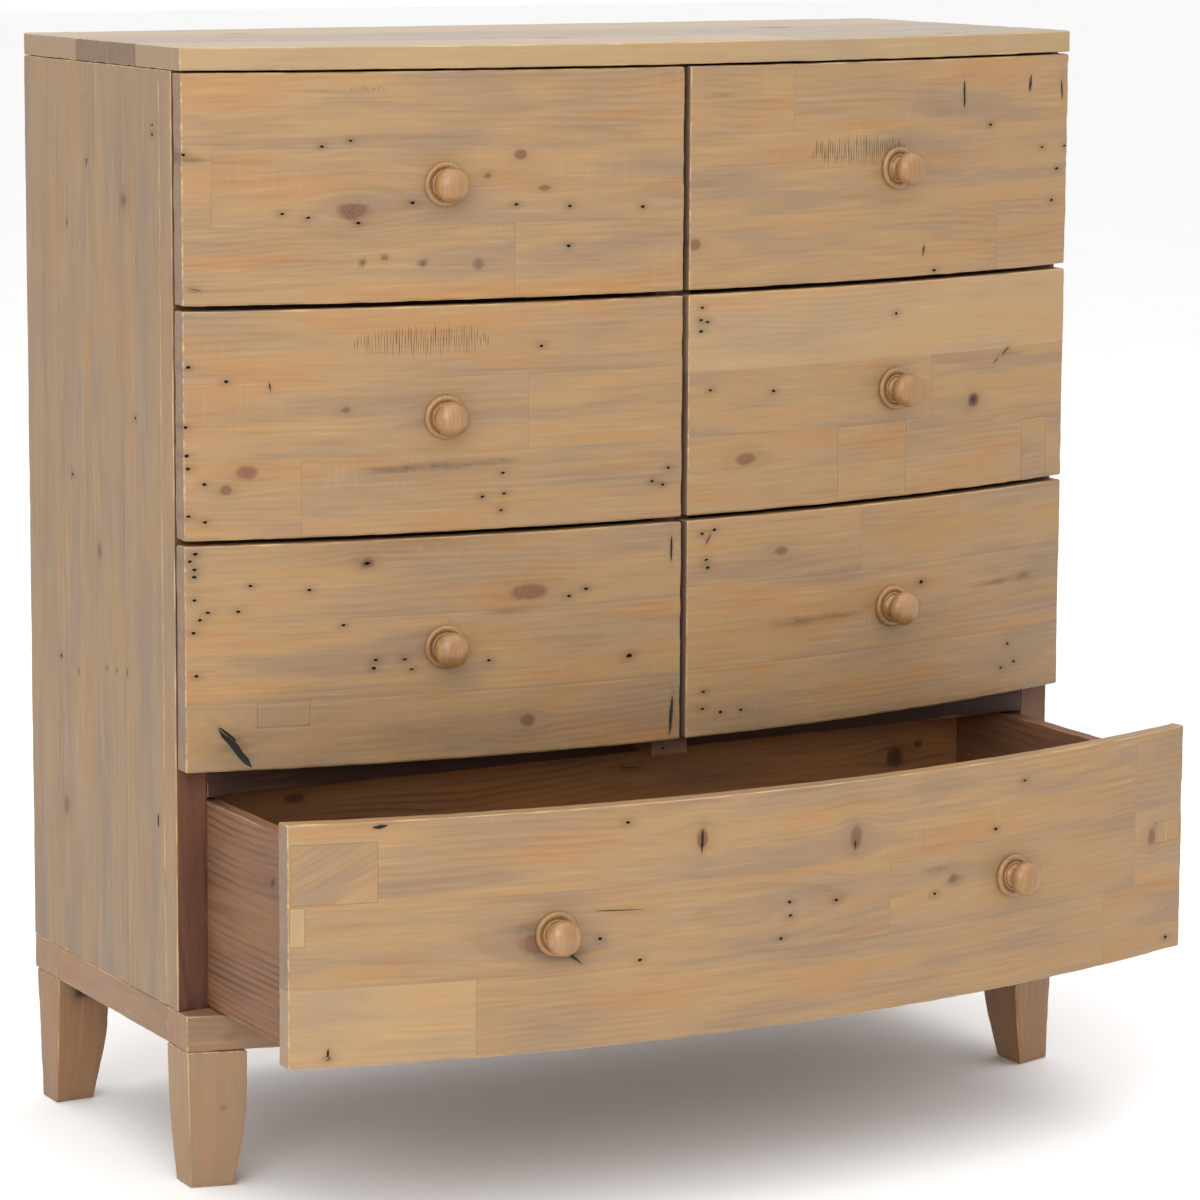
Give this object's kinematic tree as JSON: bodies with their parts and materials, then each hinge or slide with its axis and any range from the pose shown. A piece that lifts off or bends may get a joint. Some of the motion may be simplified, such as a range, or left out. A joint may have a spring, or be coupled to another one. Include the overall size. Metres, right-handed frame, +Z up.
{
  "type": "chest of drawers",
  "caption": "Bow-front reclaimed-pine chest of small paired drawers over one wide drawer, on a plinth with square tapered feet.",
  "frame": {"origin": "on the floor, at the middle in plan of the box that the chest fills as stored, with its wide drawer open", "axes": "+X to the right as seen from in front, +Y from the front towards the back, +Z up"},
  "size_m": [1, 0.6848, 1.085],
  "materials": {
    "drawer_front": "waxed reclaimed pine, honey",
    "top": "waxed reclaimed pine, pale",
    "side": "waxed reclaimed pine, greyed honey",
    "base": "waxed reclaimed pine, honey",
    "dark_frame": "red-brown stained pine",
    "drawer_box": "plain planed pine, reddish tan",
    "inner_board": "plain brown board",
    "knob": "turned pine, satin"
  },
  "bodies": {
    "carcass": {"top_panel": "top", "side_panel_left": "side", "side_panel_right": "side", "front_post_left": "dark_frame", "front_post_right": "dark_frame", "back_panel": "inner_board", "divider_1": "dark_frame", "divider_2": "dark_frame", "divider_3": "dark_frame", "centre_stile": "dark_frame", "centre_partition": "inner_board", "base_frame": "base", "bottom_board": "inner_board", "leg_front_left": "base", "leg_front_right": "base", "leg_back_left": "base", "leg_back_right": "base"},
    "drawer_1_left": {"drawer_1_left_front": "drawer_front", "drawer_1_left_side_left": "drawer_box", "drawer_1_left_side_right": "drawer_box", "drawer_1_left_back": "drawer_box", "drawer_1_left_bottom": "drawer_box", "drawer_1_left_knob": "knob"},
    "drawer_1_right": {"drawer_1_right_front": "drawer_front", "drawer_1_right_side_left": "drawer_box", "drawer_1_right_side_right": "drawer_box", "drawer_1_right_back": "drawer_box", "drawer_1_right_bottom": "drawer_box", "drawer_1_right_knob": "knob"},
    "drawer_2_left": {"drawer_2_left_front": "drawer_front", "drawer_2_left_side_left": "drawer_box", "drawer_2_left_side_right": "drawer_box", "drawer_2_left_back": "drawer_box", "drawer_2_left_bottom": "drawer_box", "drawer_2_left_knob": "knob"},
    "drawer_2_right": {"drawer_2_right_front": "drawer_front", "drawer_2_right_side_left": "drawer_box", "drawer_2_right_side_right": "drawer_box", "drawer_2_right_back": "drawer_box", "drawer_2_right_bottom": "drawer_box", "drawer_2_right_knob": "knob"},
    "drawer_3_left": {"drawer_3_left_front": "drawer_front", "drawer_3_left_side_left": "drawer_box", "drawer_3_left_side_right": "drawer_box", "drawer_3_left_back": "drawer_box", "drawer_3_left_bottom": "drawer_box", "drawer_3_left_knob": "knob"},
    "drawer_3_right": {"drawer_3_right_front": "drawer_front", "drawer_3_right_side_left": "drawer_box", "drawer_3_right_side_right": "drawer_box", "drawer_3_right_back": "drawer_box", "drawer_3_right_bottom": "drawer_box", "drawer_3_right_knob": "knob"},
    "drawer_wide": {"drawer_wide_front": "drawer_front", "drawer_wide_side_left": "drawer_box", "drawer_wide_side_right": "drawer_box", "drawer_wide_back": "drawer_box", "drawer_wide_bottom": "drawer_box", "drawer_wide_knob_left": "knob", "drawer_wide_knob_right": "knob"}
  },
  "joints": [
    {"name": "drawer_1_left_slide", "type": "slide", "parent": "carcass", "child": "drawer_1_left", "axis": [0, -1, 0], "range_m": [0, 0.27]},
    {"name": "drawer_1_right_slide", "type": "slide", "parent": "carcass", "child": "drawer_1_right", "axis": [0, -1, 0], "range_m": [0, 0.27]},
    {"name": "drawer_2_left_slide", "type": "slide", "parent": "carcass", "child": "drawer_2_left", "axis": [0, -1, 0], "range_m": [0, 0.27]},
    {"name": "drawer_2_right_slide", "type": "slide", "parent": "carcass", "child": "drawer_2_right", "axis": [0, -1, 0], "range_m": [0, 0.27]},
    {"name": "drawer_3_left_slide", "type": "slide", "parent": "carcass", "child": "drawer_3_left", "axis": [0, -1, 0], "range_m": [0, 0.27]},
    {"name": "drawer_3_right_slide", "type": "slide", "parent": "carcass", "child": "drawer_3_right", "axis": [0, -1, 0], "range_m": [0, 0.27]},
    {"name": "drawer_wide_slide", "type": "slide", "parent": "carcass", "child": "drawer_wide", "axis": [0, -1, 0], "range_m": [-0.2206, 0.05]}
  ]
}
